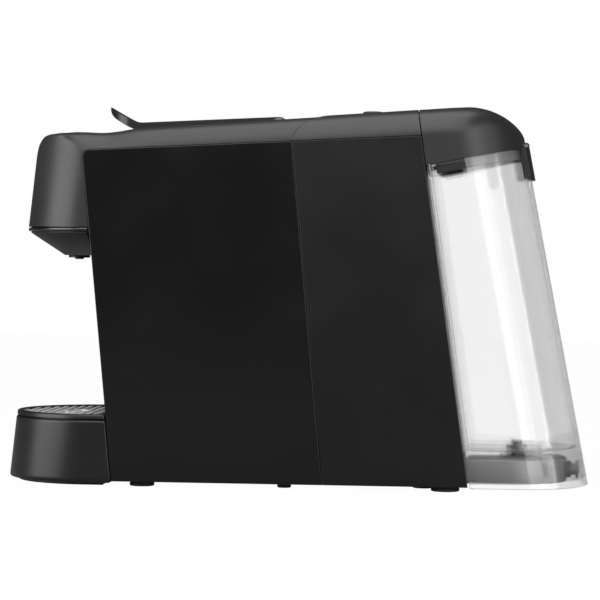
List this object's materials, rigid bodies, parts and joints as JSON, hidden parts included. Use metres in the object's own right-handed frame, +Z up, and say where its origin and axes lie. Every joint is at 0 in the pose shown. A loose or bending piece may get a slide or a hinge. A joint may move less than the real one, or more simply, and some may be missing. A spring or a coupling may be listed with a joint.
{
  "type": "pod coffee machine",
  "caption": "Slim free-standing pod coffee machine: top lever, front drip-tray drawer under a rounded head, two top buttons and a clear lift-off water tank with hinged lid.",
  "frame": {"origin": "centre of the footprint on the surface the machine stands on", "axes": "-Y towards the front (cup side), +Y towards the water tank, +X towards the machine's left as seen from the front, +Z up"},
  "size_m": [0.114, 0.3895, 0.2514],
  "materials": {
    "gloss_black_panel": "high-gloss moulded black ABS",
    "matt_black_panel": "fine-textured black ABS",
    "satin_black_cover": "satin black moulded ABS",
    "satin_black_tray": "satin black moulded plastic",
    "dark_plastic": "plain dark moulding",
    "lever_black": "gloss black moulded lever",
    "bright_trim": "satin chrome-plated trim",
    "brushed_steel": "brushed stainless steel",
    "cast_grey": "satin cast aluminium",
    "clear_tank": "clear moulded copolyester",
    "rubber_black": "moulded rubber",
    "hose_silicone": "translucent silicone hose",
    "steel_fastener": "zinc-plated steel",
    "board_green": "printed circuit board",
    "button_grey": "soft-touch dark grey",
    "pump_body": "glass-filled nylon"
  },
  "bodies": {
    "body": {"base_plate": "dark_plastic", "front_feet": "rubber_black", "rear_feet": "rubber_black", "middle_pads": "rubber_black", "base_screws": "steel_fastener", "cable_gland": "rubber_black", "front_panel_left": "gloss_black_panel", "front_panel_right": "gloss_black_panel", "rear_panel_left": "matt_black_panel", "rear_panel_right": "matt_black_panel", "front_wall": "dark_plastic", "rear_wall": "dark_plastic", "front_cover": "satin_black_cover", "rear_cover": "satin_black_cover", "head_trim_ring": "bright_trim", "spout_funnel": "satin_black_cover", "outlet_nozzle": "dark_plastic", "tank_shelf": "cast_grey", "dock_socket": "rubber_black", "plunger_guide": "dark_plastic", "mechanism_frame": "dark_plastic", "injector_head": "cast_grey", "capsule_chute": "dark_plastic", "pump": "pump_body", "pump_mounts": "rubber_black", "heater_block": "cast_grey", "flow_meter": "pump_body", "water_hoses": "hose_silicone", "control_board": "board_green", "button_spring_left": "steel_fastener", "button_spring_right": "steel_fastener"},
    "lever_group": {"lever": "lever_black", "lever_shaft": "steel_fastener", "lever_cranks": "cast_grey"},
    "cup_carriage": {"brew_cup": "cast_grey", "cup_rails": "cast_grey"},
    "left_button": {"button_left": "button_grey"},
    "right_button": {"button_right": "button_grey"},
    "drawer": {"drip_tray": "satin_black_tray", "capsule_bin": "dark_plastic"},
    "grille": {"grille_rim": "satin_black_tray", "grille_slats": "brushed_steel"},
    "water_tank": {"tank": "clear_tank", "lid_hinge_clip": "dark_plastic", "lid_hinge_pin": "steel_fastener", "valve_seal": "rubber_black"},
    "tank_lid": {"lid": "satin_black_cover", "lid_liner": "dark_plastic"},
    "tank_valve": {"valve_poppet": "cast_grey"},
    "shelf_plunger": {"rear_plunger": "cast_grey"}
  },
  "joints": [
    {"name": "lever_hinge", "type": "hinge", "parent": "body", "child": "lever_group", "pos_m": [0, -0.0122, 0.23897], "axis": [-1, 0, 0], "range_deg": [0, 80]},
    {"name": "cup_slide", "type": "slide", "parent": "body", "child": "cup_carriage", "axis": [0, -1, 0], "range_m": [0, 0.02829]},
    {"name": "left_button_press", "type": "slide", "parent": "body", "child": "left_button", "axis": [0, 0, -1], "range_m": [0, 0.0015], "stiffness_N_per_m": 600, "springref_m": -0.001, "deforming": ["button_spring_left"]},
    {"name": "right_button_press", "type": "slide", "parent": "body", "child": "right_button", "axis": [0, 0, -1], "range_m": [0, 0.0015], "stiffness_N_per_m": 600, "springref_m": -0.001, "deforming": ["button_spring_right"]},
    {"name": "drawer_slide", "type": "slide", "parent": "body", "child": "drawer", "axis": [0, -1, 0], "range_m": [0, 0.1]},
    {"name": "grille_lift", "type": "slide", "parent": "drawer", "child": "grille", "axis": [0, -0.099, 0.9951], "range_m": [0, 0.04]},
    {"name": "tank_lift", "type": "slide", "parent": "body", "child": "water_tank", "axis": [0, 0, 1], "range_m": [0, 0.1]},
    {"name": "lid_hinge", "type": "hinge", "parent": "water_tank", "child": "tank_lid", "pos_m": [0, 0.1508, 0.22696], "axis": [-1, 0, 0], "range_deg": [0, 95]},
    {"name": "valve_lift", "type": "slide", "parent": "water_tank", "child": "tank_valve", "axis": [0, 0, 1], "range_m": [0, 0.002], "stiffness_N_per_m": 60},
    {"name": "plunger_press", "type": "slide", "parent": "body", "child": "shelf_plunger", "axis": [0, -1, 0], "range_m": [0, 0.003], "stiffness_N_per_m": 300, "springref_m": -0.001}
  ],
  "couplings": [
    {"joint": "cup_slide", "follows": "lever_hinge", "m_per_rad": 0.020256}
  ]
}
